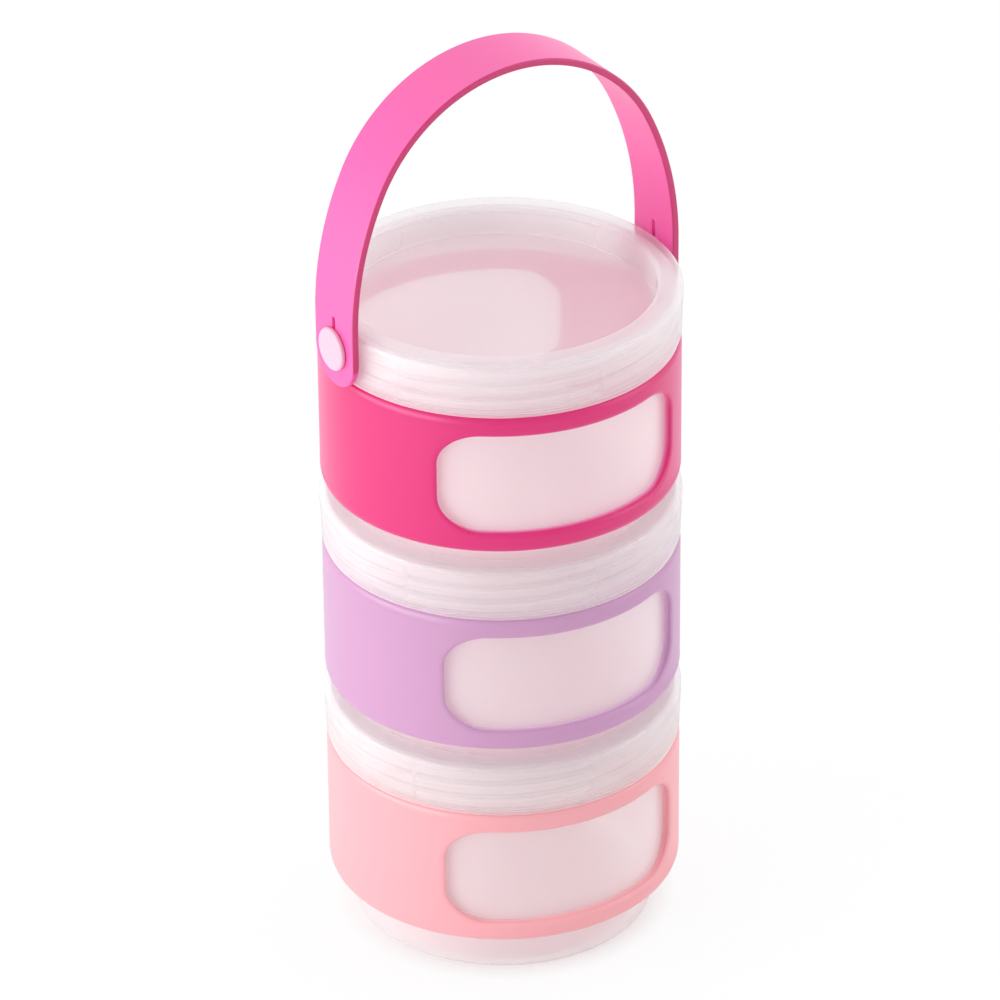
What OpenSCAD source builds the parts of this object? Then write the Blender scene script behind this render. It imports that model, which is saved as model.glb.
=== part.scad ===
// Three stacked snack containers with screw lids, silicone sleeves and a carrying strap.
// +Z is up, the stack stands on z = 0 and its axis is the Z axis. The strap swings about the X axis line
// through its two pegs.

/* [Sleeves] */
// Outside diameter of a silicone sleeve
sleeve_d = 90; // [84:0.5:100]
// Height of a sleeve
sleeve_h = 37; // [32:0.5:50]
// Wall thickness of a sleeve
sleeve_wall = 2.2; // [1.6:0.1:3]
// Gap between a sleeve and the container that it is stretched on
sleeve_fit = 0.05; // [0.02:0.01:0.1]
// Rounding of a sleeve's outer edges
sleeve_edge_r = 0.8; // [0.3:0.1:1.2]
// Width of a sleeve's window, measured straight across
window_w = 62.6; // [40:0.2:70]
// Height of the sleeve left above and below a window
window_border = 5; // [4:0.25:8]
// Corner radius of a window
window_corner_r = 9; // [5:0.5:11]
// Turn of the bottom, middle and top sleeve's windows away from the strap's front
sleeve_turn = [-7, -6.4, -7.9]; // [-45:0.1:45]

/* [Containers] */
// Height of the foot that shows below a sleeve
foot_h = 12.5; // [11:0.25:18]
// Wall thickness of a container's body
cup_wall = 1.6; // [1.2:0.1:2.2]
// Thickness of a container's floor
cup_floor = 1.6; // [1.2:0.1:2.5]
// Radial step from the body in to the foot
foot_step = 4.75; // [4:0.05:6]
// Depth of the hollow under the foot
foot_recess = 0.8; // [0.4:0.1:1.5]
// Width of the ring that the foot stands on
foot_ring_w = 4; // [3:0.25:6]
// Rounding of the foot's lower edge
foot_edge_r = 1.2; // [0.5:0.1:2]
// Height of the rounded shoulder that hides behind the sleeve's lower edge
shoulder_drop = 0.9; // [0.4:0.1:1.5]
// Thickness of the stop ring above a sleeve
stop_ring_t = 1; // [0.8:0.1:1.6]
// Radial width of the stop ring past the body
stop_ring_w = 1.8; // [1:0.1:2]
// Gap between a sleeve's upper edge and the stop ring
stop_gap = 0.1; // [0.05:0.05:0.5]
// Wall thickness of the neck under the thread
neck_wall = 1.4; // [1:0.1:1.6]
// Rounding of a container's lip
lip_r = 0.5; // [0.2:0.1:0.6]

/* [Lids] */
// Radial room for the thread between a neck and its lid's skirt
thread_room = 1.15; // [0.9:0.05:1.6]
// Height of a lid's skirt
skirt_h = 13.4; // [12:0.2:20]
// Wall thickness of the skirt at its shoulder
skirt_wall = 1.7; // [1.5:0.1:2]
// Taper of the skirt's outside from the shoulder to its lower edge
skirt_taper = 0.4; // [0:0.1:0.6]
// Gap between the skirt and the stop ring below it
skirt_gap = 0.2; // [0.1:0.05:0.6]
// Depth of the well that takes the next container's foot
well_depth = 7.6; // [6:0.2:9]
// Radial gap between a foot and the well around it
well_fit = 0.9; // [0.5:0.1:1.4]
// Wall thickness of the well
well_wall = 1.5; // [1.2:0.1:1.8]
// Thickness of the well's floor and of the rim's top
lid_t = 1.6; // [1.2:0.1:2.2]
// Rounding of the rim's outer edge
rim_outer_r = 1.8; // [0.6:0.1:2.4]
// Rounding of the rim's inner edge
rim_inner_r = 1.4; // [0.4:0.1:2]
// Rounding at the bottom of the well
well_corner_r = 1; // [0.4:0.1:1.4]

/* [Seals] */
// Thickness of the seal ring between a lip and its lid
seal_t = 1.4; // [1:0.1:2.4]
// Gap between the seal ring and the walls of its channel
seal_fit = 0.1; // [0.05:0.01:0.2]

/* [Strap and pegs] */
// Width of the strap
strap_w = 17.6; // [12:0.2:24]
// Thickness of the strap
strap_t = 1.8; // [1.4:0.1:2.6]
// Gap between the strap and the peg seats on the lid
strap_gap = 0.1; // [0.05:0.05:0.4]
// Outer radius of the strap's crown
crown_r = 43.6; // [38:0.2:47]
// Angle from the top to where the crown meets the shoulders
crown_angle = 64.2; // [50:0.2:75]
// Height of the straight legs above the pegs
leg_h = 6.7; // [2:0.1:40]
// Length of the strap below the peg's centre
strap_end = 10; // [9:0.1:12]
// Height of the peg's centre below the top lid's rim
peg_drop = 5.2; // [4.8:0.1:7]
// Diameter of a peg's shank
peg_d = 4; // [3:0.1:5]
// Diameter of a peg's head
peg_head_d = 11; // [8:0.2:14]
// Thickness of a peg's head
peg_head_t = 1.3; // [0.9:0.1:2]
// Gap between the strap and the peg's head
head_gap = 0.1; // [0.05:0.05:0.4]
// Gap between the shank and the strap's hole
peg_fit = 0.05; // [0.02:0.01:0.1]
// Depth that a peg's shank is sunk in its seat
peg_sink = 1.4; // [0.8:0.1:1.5]
// Width of the flat seat around a peg, under the strap
seat_w = 1.3; // [0.8:0.1:1.6]
// Height of a seat past the lid's side
seat_rise = 0.15; // [0.1:0.05:0.5]
// Width of the slit above the strap's hole
slit_w = 1.4; // [0.8:0.1:2]
// Height of the slit's end above the peg's centre
slit_top = 8.6; // [7:0.2:11]

/* [Hidden] */
$fn = 128;
TIERS = ["bottom", "middle", "top"];

// Radii, from the sleeve inwards
sleeve_r = sleeve_d / 2;
sleeve_in_r = sleeve_r - sleeve_wall;
body_r = sleeve_in_r - sleeve_fit;
cavity_r = body_r - cup_wall;
neck_r = cavity_r + neck_wall;
stop_ring_r = body_r + stop_ring_w;
foot_r = body_r - foot_step;
foot_in_r = foot_r - cup_wall;
skirt_in_r = neck_r + thread_room;
lid_r = skirt_in_r + skirt_wall;
well_r = foot_r + well_fit;
well_out_r = well_r + well_wall;

// Heights within one tier, from the foot upwards
sleeve_z = foot_h;
shoulder_z = sleeve_z - shoulder_drop;
sleeve_top_z = sleeve_z + sleeve_h;
stop_ring_z = sleeve_top_z + stop_gap;
neck_z = stop_ring_z + stop_ring_t;
skirt_z = neck_z + skirt_gap;
rim_z = skirt_z + skirt_h;
web_z = rim_z - lid_t;
lip_z = web_z - seal_t;
tier_pitch = rim_z - well_depth;
plug_z = tier_pitch - lid_t;
cup_floor_z = foot_recess + cup_floor;
shoulder_in_z = shoulder_z + cup_wall;

// The pegs' line and the strap's arch, which is drawn from its outer face
top_rim_z = 2 * tier_pitch + rim_z;
peg_z = top_rim_z - peg_drop;
seat_d = peg_d + 2 * seat_w;
seat_x = max(lid_r, sleeve_r) + seat_rise;
leg_in_x = seat_x + strap_gap;
leg_out_x = leg_in_x + strap_t;
leg_top_z = peg_z + leg_h;
shoulder_arc_r = (leg_out_x - crown_r * sin(crown_angle)) / (1 - sin(crown_angle));
crown_z = leg_top_z + (shoulder_arc_r - crown_r) * cos(crown_angle);
shoulder_arc_x = leg_out_x - shoulder_arc_r;
head_x = leg_out_x + head_gap;

// A margin for cuts that run past a face
cut = 1;
// The degrees by which the strap's crown runs into each shoulder, so that the two join
arc_overlap = 0.01;

// A ring section from radius r0 to r1 and height z0 to z1, with a rounding for each corner
module ring_section(r0, r1, z0, z1, in_bottom = 0, out_bottom = 0, out_top = 0, in_top = 0) {
    corners = [
        [r0, z0, 1, 1, in_bottom],
        [r1, z0, -1, 1, out_bottom],
        [r1, z1, -1, -1, out_top],
        [r0, z1, 1, -1, in_top]
    ];
    difference() {
        translate([r0, z0])
            square([r1 - r0, z1 - z0]);
        for (c = corners)
            if (c[4] > 0)
                corner_waste(c[0], c[1], c[2], c[3], c[4]);
    }
}

// What a rounding of radius r takes off a corner at (x, z) whose solid lies towards (sx, sz)
module corner_waste(x, z, sx, sz, r) {
    difference() {
        translate([x - (sx > 0 ? cut : r), z - (sz > 0 ? cut : r)])
            square(r + cut);
        translate([x + sx * r, z + sz * r])
            circle(r);
    }
}

// The whole section of a container in its own tier
module container_section() {
    difference() {
        union() {
            ring_section(0, foot_r, 0, shoulder_z + cut, out_bottom = foot_edge_r);
            ring_section(0, body_r, shoulder_z, neck_z, out_bottom = shoulder_drop);
            ring_section(0, stop_ring_r, stop_ring_z, neck_z, out_bottom = 0.3, out_top = 0.3);
            ring_section(0, neck_r, stop_ring_z, lip_z, out_top = lip_r);
        }
        // the cavity, narrow in the foot and wide in the body
        ring_section(0, foot_in_r, cup_floor_z, shoulder_in_z + cut, out_bottom = cup_wall);
        ring_section(0, cavity_r, shoulder_in_z, lip_z + cut, out_bottom = cup_wall);
        // the hollow under the foot
        ring_section(0, foot_r - foot_ring_w, -cut, foot_recess, out_top = foot_recess / 2);
    }
}

module container(tier) {
    color([0.95, 0.90, 0.92, 0.55])
        translate([0, 0, tier * tier_pitch])
            rotate_extrude()
                container_section();
}

// A window's outline, wide along X and centred on the sleeve's height along Y
module window_outline() {
    h = sleeve_h - 2 * window_border;
    ring_section(
        -window_w / 2, window_w / 2, -h / 2, h / 2,
        window_corner_r, window_corner_r, window_corner_r, window_corner_r
    );
}

module sleeve(tier, tint) {
    color(tint)
        translate([0, 0, tier * tier_pitch + sleeve_z])
            difference() {
                rotate_extrude()
                    ring_section(
                        sleeve_in_r, sleeve_r, 0, sleeve_h,
                        out_bottom = sleeve_edge_r, out_top = sleeve_edge_r
                    );
                // one straight cut opens the front window and the back one
                translate([0, 0, sleeve_h / 2])
                    rotate([90, 0, sleeve_turn[tier]])
                        linear_extrude(2 * sleeve_d, center = true)
                            window_outline();
            }
}

// A lid's section: outer skirt, rim, and the well that plugs the container's mouth
module lid_section() {
    difference() {
        union() {
            ring_section(well_r, lid_r, rim_z - rim_outer_r - cut, rim_z, out_top = rim_outer_r,
                in_top = rim_inner_r);
            polygon([
                [skirt_in_r, skirt_z],
                [lid_r - skirt_taper, skirt_z],
                [lid_r, rim_z - rim_outer_r],
                [skirt_in_r, rim_z - rim_outer_r]
            ]);
            ring_section(0, well_out_r, plug_z, rim_z - rim_outer_r, out_bottom = well_corner_r);
        }
        // the channel for the lip and its seal
        ring_section(well_out_r, skirt_in_r, skirt_z - cut, web_z);
        // the well
        ring_section(-cut, well_r, tier_pitch, rim_z - rim_inner_r + cut, out_bottom = well_corner_r / 2);
    }
}

module lid(tier) {
    color([0.96, 0.93, 0.95, 0.5])
        translate([0, 0, tier * tier_pitch])
            rotate_extrude()
                lid_section();
}

// The top lid has a flat seat and a blind hole for a peg on each side
module top_lid() {
    color([0.96, 0.93, 0.95, 0.5])
        difference() {
            union() {
                lid(2);
                for (side = [-1, 1])
                    peg_rod(side, seat_d, skirt_in_r + skirt_wall / 2, seat_x);
            }
            for (side = [-1, 1])
                peg_rod(side, peg_d, seat_x - peg_sink, seat_x + cut);
        }
}

module seal(tier) {
    color("white")
        translate([0, 0, tier * tier_pitch])
            rotate_extrude()
                ring_section(
                    well_out_r + seal_fit, skirt_in_r - seal_fit, lip_z, web_z,
                    in_bottom = seal_t / 4, out_bottom = seal_t / 4
                );
}

// A round rod on the pegs' line, from x0 out to x1 on one side
module peg_rod(side, d, x0, x1) {
    translate([side * x0, 0, peg_z])
        rotate([0, side * 90, 0])
            cylinder(d = d, h = x1 - x0);
}

// A peg: a shank sunk in the lid's seat and a wide head outside the strap
module peg(side) {
    edge = peg_head_t / 2;
    color([0.98, 0.82, 0.89])
        union() {
            peg_rod(side, peg_d, seat_x - peg_sink, head_x + peg_head_t / 2);
            translate([side * head_x, 0, peg_z])
                rotate([0, side * 90, 0])
                    rotate_extrude()
                        ring_section(0, peg_head_d / 2, 0, peg_head_t, out_top = edge);
        }
}

// A stretch of the strap, bent to an arc of outer radius r about (x, z), from angle a0 to a1 above the X axis
module strap_arc(x, z, r, a0, a1) {
    translate([x, 0, z])
        rotate([90, 0, 0])
            rotate([0, 0, a0])
                rotate_extrude(angle = a1 - a0)
                    translate([r - strap_t, -strap_w / 2])
                        square([strap_t, strap_w]);
}

// The strap before its ends are rounded: a crown, two shoulders and two straight legs
module strap_band() {
    half_crown = crown_angle + arc_overlap;
    strap_arc(0, crown_z, crown_r, 90 - half_crown, 90 + half_crown);
    for (side = [0, 1])
        mirror([side, 0, 0]) {
            strap_arc(shoulder_arc_x, leg_top_z, shoulder_arc_r, 0, 90 - crown_angle);
            translate([leg_in_x, -strap_w / 2, peg_z - strap_end])
                cube([strap_t, strap_w, leg_h + strap_end]);
        }
}

// The strap seen from its side, with round ends, as it bounds the arch
module strap_side() {
    ring_section(
        -strap_w / 2, strap_w / 2, peg_z - strap_end, crown_z + crown_r + cut,
        in_bottom = strap_w / 2, out_bottom = strap_w / 2
    );
}

// The hole for a peg with the slit that lets the strap stretch over the peg's head
module keyhole(side) {
    slit_h = slit_top - slit_w / 2;
    peg_rod(side, peg_d + 2 * peg_fit, leg_in_x - cut, leg_out_x + cut);
    translate([0, 0, slit_h])
        peg_rod(side, slit_w, leg_in_x - cut, leg_out_x + cut);
    translate([side * (leg_in_x + leg_out_x) / 2, 0, peg_z + slit_h / 2])
        cube([strap_t + 2 * cut, slit_w, slit_h], center = true);
}

module handle_strap() {
    color([0.98, 0.36, 0.66])
        difference() {
            intersection() {
                strap_band();
                rotate([90, 0, 90])
                    linear_extrude(4 * leg_out_x, center = true)
                        strap_side();
            }
            for (side = [-1, 1])
                keyhole(side);
        }
}

sleeve_tints = [[1, 0.76, 0.80], [0.86, 0.68, 0.88], [0.98, 0.36, 0.66]];

for (i = [0:2]) {
    container(i);
    sleeve(i, sleeve_tints[i]);
    seal(i);
}
lid(0);  // lid_bottom
lid(1);  // lid_middle
top_lid();  // lid_top
handle_strap();
peg(-1);  // peg_left
peg(1);  // peg_right
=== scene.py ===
"""Looks of a stack of three snack pots: frosted pots and screw lids, silicone sleeves with windows, seals and a
carrying strap on two pegs. Every shape is a surface worked out with numpy in millimetres, in the frame's axes:
+Z up, the stack standing on z = 0, and the pegs' line along X."""

import math

import bmesh
import bpy
import numpy as np
from mathutils import Matrix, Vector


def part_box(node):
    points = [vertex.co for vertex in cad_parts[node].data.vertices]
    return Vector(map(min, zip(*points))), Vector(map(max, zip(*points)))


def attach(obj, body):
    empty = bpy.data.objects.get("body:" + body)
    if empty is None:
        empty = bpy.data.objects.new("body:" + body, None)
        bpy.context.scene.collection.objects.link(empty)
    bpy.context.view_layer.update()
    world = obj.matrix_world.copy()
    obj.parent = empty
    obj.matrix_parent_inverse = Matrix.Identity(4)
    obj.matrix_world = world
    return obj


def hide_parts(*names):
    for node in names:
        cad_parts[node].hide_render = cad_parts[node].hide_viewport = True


bl_info = {
    "name": "Snack Pot Stack",
    "version": (1, 0, 0),
    "blender": (4, 5, 0),
    "location": "3D View > Sidebar > Snack Pots",
    "description": "Builds a stack of snack pots with lids, sleeves and a strap",
    "category": "Add Mesh",
}

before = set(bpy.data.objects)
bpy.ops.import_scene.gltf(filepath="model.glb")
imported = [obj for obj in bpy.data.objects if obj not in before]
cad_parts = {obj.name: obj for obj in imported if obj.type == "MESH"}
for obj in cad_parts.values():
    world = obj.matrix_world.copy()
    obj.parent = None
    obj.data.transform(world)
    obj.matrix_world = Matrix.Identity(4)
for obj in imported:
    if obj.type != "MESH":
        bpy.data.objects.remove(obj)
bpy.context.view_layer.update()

TIERS = ("bottom", "middle", "top")
MM = 0.001
TIER_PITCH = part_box("container_middle")[0].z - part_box("container_bottom")[0].z
PEG_Z = sum(corner.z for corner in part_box("peg_left")) / 2
WHITE = (1.0, 1.0, 1.0, 1.0)
# points around a turned pot, lid or seal, and around a peg
AROUND, PEG_AROUND = 256, 96
# millimetres between a profile's points: the most there are, where a thread is raised, and where only its lines show
PROFILE_STEP, THREAD_STEP, LINE_STEP = 4.0, 0.11, 0.4
# radians between the points of a rounded corner
ARC_STEP = 0.12
# angle over which a thread's ends fade, and angle from which an edge stays sharp
FADE, SHARP = math.radians(30), math.radians(40)
# points are merged where they are alike to one part in this many of a millimetre
MERGE = 20000
# millimetres left between a seal and the lid over it and the lip under it
SEAL_GAP = 0.03
# height of the moulded grain, in metres
GRAIN_DEPTH = 0.00001
# least cosine of the viewing angle that counts for how far a frosted wall is crossed
LEAST_COSINE = 0.12


# ---------------------------------------------------------------- sizes and colours


def length(name, text, value_mm):
    """A length property whose default is given in millimetres."""
    return bpy.props.FloatProperty(
        name=name, description=text, default=value_mm * MM, min=0.0, precision=5, subtype="DISTANCE", unit="LENGTH"
    )


def degrees(name, text, value):
    """An angle property whose default is given in degrees."""
    return bpy.props.FloatProperty(name=name, description=text, default=math.radians(value), subtype="ANGLE")


def colour(name, text, rgb):
    """A colour property in linear light."""
    return bpy.props.FloatVectorProperty(
        name=name, description=text, default=rgb, size=3, min=0.0, max=1.0, subtype="COLOR"
    )


class SnackPotSizes(bpy.types.PropertyGroup):
    """Sizes of a pot, from its foot upwards."""

    foot_r: length("Foot radius", "Outside radius of the foot", 38.0)
    foot_ring_w: length("Foot ring", "Width of the ring that the foot stands on", 4.0)
    foot_recess: length("Foot hollow", "Depth of the hollow under the foot", 0.8)
    foot_edge_r: length("Foot edge", "Rounding of the foot's lower edge", 1.2)
    wall: length("Wall", "Thickness of the pot's wall and floor", 1.6)
    shoulder_z: length("Shoulder height", "Height at which the foot steps out to the body", 11.6)
    shoulder_r: length("Shoulder rounding", "Rounding of the shoulder over the foot", 0.9)
    body_r: length("Body radius", "Outside radius of the body inside its sleeve", 42.75)
    stop_ring_z: length("Stop ring height", "Height of the stop ring's lower face", 49.6)
    stop_ring_t: length("Stop ring thickness", "Thickness of the stop ring", 1.0)
    stop_ring_r: length("Stop ring radius", "Outside radius of the stop ring", 44.55)
    neck_r: length("Neck radius", "Outside radius of the neck under its thread", 42.55)
    lip_z: length("Lip height", "Height of the pot's lip", 61.2)
    lip_r: length("Lip rounding", "Rounding of the lip's outer edge", 0.5)


class SnackThreadSizes(bpy.types.PropertyGroup):
    """Sizes of the screw thread between a neck and its lid."""

    lead: length("Lead", "Rise of the lid in one turn", 8.0)
    starts: bpy.props.IntProperty(name="Starts", description="Number of thread starts", default=2, min=1, max=4)
    height: length("Height", "Radial height of a thread", 0.75)
    root: length("Root width", "Half the width of a thread at its root", 0.95)
    crest: length("Crest width", "Half the width of a thread at its crest", 0.4)
    start_z: length("Start height", "Height of a neck thread's lower end above the foot", 52.2)
    drop: length("Lid thread drop", "How far a lid's thread lies below the neck's", 1.8)
    span: degrees("Span", "Angle that one thread runs around the neck", 300)
    lid_skip: degrees("Lid skip", "Angle by which a lid's thread starts later", 65)
    shown: bpy.props.FloatProperty(
        name="Shown lines", description="Strength of the lines that show on a lid", default=0.8, min=0.0, max=1.0
    )


class SnackLidSizes(bpy.types.PropertyGroup):
    """Sizes of a lid, in the heights of its own pot."""

    shoulder_r: length("Shoulder radius", "Outside radius at the lid's shoulder", 45.4)
    hem_r: length("Hem radius", "Outside radius at the skirt's lower edge", 45.0)
    skirt_in_r: length("Skirt bore", "Inside radius of the skirt", 43.7)
    skirt_z: length("Skirt height", "Height of the skirt's lower edge", 50.8)
    rim_z: length("Rim height", "Height of the rim", 64.2)
    rim_outer_r: length("Outer rounding", "Rounding of the rim's outer edge", 1.8)
    rim_inner_r: length("Inner rounding", "Rounding of the rim's inner edge", 1.4)
    top_t: length("Top thickness", "Thickness of the rim's top and of the well's floor", 1.6)
    well_r: length("Well radius", "Inside radius of the well", 38.9)
    well_wall: length("Well wall", "Thickness of the well's wall", 1.5)
    well_z: length("Well floor", "Height of the well's floor", 56.6)


class SnackSleeveSizes(bpy.types.PropertyGroup):
    """Sizes of a sleeve and its two windows."""

    outer_r: length("Outer radius", "Outside radius of a sleeve", 45.0)
    inner_r: length("Inner radius", "Inside radius of a sleeve", 42.8)
    bottom_z: length("Height", "Height of the sleeve's lower edge above its pot's foot", 12.5)
    height: length("Sleeve height", "Height of a sleeve", 37.0)
    edge_w: length("Edge width", "Width over which the upper and lower edges round off", 2.0)
    edge_d: length("Edge depth", "How far the edges round off inwards", 0.9)
    window_w: length("Window width", "Width of a window, straight across", 62.6)
    window_h: length("Window height", "Height of a window", 27.0)
    corner_r: length("Corner radius", "Corner radius of a window", 9.0)
    window_edge_w: length("Window edge width", "Width over which a window's outer edge rounds off", 1.5)
    window_edge_d: length("Window edge depth", "How far a window's outer edge rounds off inwards", 0.8)
    turns: bpy.props.FloatVectorProperty(
        name="Turns", description="Turn of the bottom, middle and top sleeve's windows", size=3, subtype="EULER",
        default=[math.radians(a) for a in (-7.0, -6.4, -7.9)],
    )


class SnackStrapSizes(bpy.types.PropertyGroup):
    """Sizes of the strap and its pegs."""

    width: length("Width", "Width of the strap", 17.6)
    thickness: length("Thickness", "Thickness of the strap", 1.8)
    edge_r: length("Edge rounding", "Rounding of the strap's long edges", 0.4)
    outer_x: length("Half span", "Distance from the axis to the straight legs' outer face", 47.45)
    crown_r: length("Crown radius", "Outer radius of the crown", 43.6)
    crown_angle: degrees("Crown angle", "Angle from the top to where the crown meets the shoulders", 64.2)
    leg_h: length("Leg height", "Height of the straight legs above the pegs", 6.7)
    end: length("End length", "Length of the strap below a peg's centre", 10.0)
    hole_r: length("Hole radius", "Radius of the hole for a peg", 2.05)
    slit_w: length("Slit width", "Width of the slit above the hole", 1.4)
    slit_top: length("Slit height", "Height of the slit's end above the peg's centre", 8.6)
    peg_r: length("Peg radius", "Radius of a peg's shank", 2.0)
    head_r: length("Head radius", "Radius of a peg's head", 5.5)
    head_t: length("Head thickness", "Thickness of a peg's head", 1.3)
    head_x: length("Head place", "Distance from the axis to a head's inner face", 47.55)
    shank_x: length("Shank end", "Distance from the axis to a shank's inner end", 44.15)


class SnackColours(bpy.types.PropertyGroup):
    """Colours of the finishes."""

    pot: colour("Pot", "Frosted plastic of the pots", (1.0, 0.94, 0.95))
    lid: colour("Lid", "Frosted plastic of the lids", (0.93, 0.925, 0.93))
    seal: colour("Seal", "Clear silicone of the seals", (0.96, 0.94, 0.95))
    blush: colour("Bottom sleeve", "Light pink silicone", (0.66, 0.335, 0.365))
    lavender: colour("Middle sleeve", "Lavender silicone", (0.42, 0.23, 0.36))
    hot_pink: colour("Top sleeve", "Hot pink silicone", (0.40, 0.005, 0.115))
    strap_pink: colour("Strap", "Hot pink silicone of the strap", (0.78, 0.075, 0.345))
    peg: colour("Peg", "Pale pink plastic of the pegs", (0.80, 0.43, 0.54))


GROUPS = {
    "snack_pot": SnackPotSizes,
    "snack_thread": SnackThreadSizes,
    "snack_lid": SnackLidSizes,
    "snack_sleeve": SnackSleeveSizes,
    "snack_strap": SnackStrapSizes,
    "snack_colours": SnackColours,
}


def mm(group, names):
    """The lengths of a property group that a string names, in millimetres."""
    return [getattr(group, name) / MM for name in names.split()]


# ---------------------------------------------------------------- surfaces


def steps(start, stop, count):
    """Equal steps from start towards stop, without stop itself."""
    return np.linspace(start, stop, count, endpoint=False)


def unit(vector):
    """The vector at length 1."""
    return vector / np.linalg.norm(vector)


def run(p, q, step):
    """Points from p towards q at equal steps no longer than step, without q itself."""
    n = max(1, int(np.linalg.norm(q - p) / step + 0.999))
    return p + (q - p) * steps(0, 1, n)[:, None]


def fillet(corners, step=math.inf):
    """A polyline through corners [(u, v, radius), ...] with each corner rounded by an arc tangent to both of its
    sides. The arc's points are centre + radius * (cos a, sin a) at equal steps of about ARC_STEP. Straight runs are
    cut into pieces no longer than step."""
    out = []
    for i, (u, v, r) in enumerate(corners):
        p = np.array([u, v], float)
        if r <= 0 or i in (0, len(corners) - 1):
            out.append(p[None])
            continue
        a, b = (unit(np.array(corners[k][:2], float) - p) for k in (i - 1, i + 1))
        half = math.acos(np.clip(a @ b, -1, 1)) / 2
        centre = p + unit(a + b) * r / math.sin(half)
        t0, t1 = (p + side * r / math.tan(half) - centre for side in (a, b))
        a0, a1 = math.atan2(t0[1], t0[0]), math.atan2(t1[1], t1[0])
        turn = (a1 - a0 + math.pi) % math.tau - math.pi
        angles = a0 + turn * np.linspace(0, 1, max(3, int(abs(turn) / ARC_STEP) + 2))
        out.append(centre + r * np.stack([np.cos(angles), np.sin(angles)], 1))
    line = np.concatenate(out)
    return np.concatenate([run(p, q, step) for p, q in zip(line[:-1], line[1:])] + [line[-1:]])


def denser(profile, z0, z1, r0, r1, step):
    """The profile with points no further apart than step where it runs between the given heights and radii."""
    parts = []
    for p, q in zip(profile[:-1], profile[1:]):
        r, z = (p + q) / 2
        parts.append(run(p, q, step if z0 < z < z1 and r0 < r < r1 else math.inf))
    return np.concatenate(parts + [profile[-1:]])


def ring_faces(rows, cols):
    """Quads of a rows x cols grid of vertices numbered row by row, closed across the columns."""
    r, c = np.meshgrid(np.arange(rows - 1), np.arange(cols), indexing="ij")
    after = (c + 1) % cols
    return np.stack([r * cols + c, r * cols + after, (r + 1) * cols + after, (r + 1) * cols + c], -1).reshape(-1, 4)


def bridge(picked, near, far):
    """Quads between two closed loops of vertices, numbered from near and from far, along the picked places."""
    k = np.flatnonzero(picked)
    after = (k + 1) % len(picked)
    return np.stack([near + k, near + after, far + after, far + k], 1)


def new_object(name, data):
    """An object with that data, in the scene's collection."""
    obj = bpy.data.objects.new(name, data)
    bpy.context.scene.collection.objects.link(obj)
    return obj


def piece(name, points, faces, thread=None):
    """A closed mesh object from points in millimetres and quads. Points at one place are merged, quads that this
    narrows become triangles, and the faces are turned outwards. thread gives each point's value of that attribute."""
    keys = np.round(points * MERGE).astype(np.int64)
    _, first, back = np.unique(keys, axis=0, return_index=True, return_inverse=True)
    polys = []
    for q in back.reshape(-1)[faces].tolist():
        p = [v for k, v in enumerate(q) if v != q[k - 1]]
        if len(set(p)) == len(p) and len(p) > 2:
            polys.append(p)
    mesh = bpy.data.meshes.new(name)
    mesh.from_pydata((points[first] * MM).tolist(), [], polys)
    bm = bmesh.new()
    bm.from_mesh(mesh)
    bmesh.ops.recalc_face_normals(bm, faces=bm.faces)
    open_edges = sum(len(e.link_faces) != 2 for e in bm.edges)
    bm.to_mesh(mesh)
    bm.free()
    if open_edges:
        raise RuntimeError(f"{name} has {open_edges} open edges")
    mesh.polygons.foreach_set("use_smooth", np.ones(len(mesh.polygons), bool))
    mesh.set_sharp_from_angle(angle=SHARP)
    if thread is not None:
        values = mesh.attributes.new("thread", "FLOAT_VECTOR", "POINT").data
        values.foreach_set("vector", thread[first].astype(np.float32).reshape(-1))
    return new_object(name, mesh)


def lathe(name, profile, shape=None):
    """A surface of revolution: (r, z) of the profile turned to (r cos a, r sin a, z). The profile is a closed loop, or
    starts and ends on the axis. shape(r, z, a) gives what a thread adds to r, the place p between two threads and how
    far the thread shows. The thread attribute keeps them as (cos p, sin p, shown)."""
    r, z = (np.repeat(profile[:, k : k + 1], AROUND, 1) for k in (0, 1))
    angle = np.repeat(steps(0, math.tau, AROUND)[None], len(profile), 0)
    thread = None
    if shape is not None:
        raised, place, shown = shape(r, z, angle)
        r = r + raised
        thread = np.stack([np.cos(place), np.sin(place), shown], -1).reshape(-1, 3)
    points = np.stack([r * np.cos(angle), r * np.sin(angle), z], -1).reshape(-1, 3)
    return piece(name, points, ring_faces(len(profile), AROUND), thread)


def raised_to(tier, obj):
    """The object with its mesh moved up from the bottom tier to its own."""
    obj.data.transform(Matrix.Translation((0, 0, tier * TIER_PITCH)))
    return obj


def thread_shape(z, a, threads, start_z, begin=0.0):
    """A screw thread at height z and angle a: its rise from 0 to 1, the place between two threads as an angle from -pi
    to pi, and the fading of its ends from 0 to 1. A thread's middle line is z = start_z + lead * t / 2 pi, where t is
    the angle along it, from begin to span. Across it the rise is a trapezoid, smoothed, and its ends fade over FADE."""
    lead, root, crest = mm(threads, "lead root crest")
    pitch = lead / threads.starts
    off = z - start_z - lead * a / math.tau
    lap = np.round(off / pitch)
    off = off - lap * pitch
    t = a + math.tau * lap / threads.starts
    side = np.clip((root - np.abs(off)) / (root - crest), 0, 1)
    fade = np.clip(np.minimum(t - begin, threads.span - t) / FADE, 0, 1)
    return side * side * (3 - 2 * side) * fade, math.tau * off / pitch, fade


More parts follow.
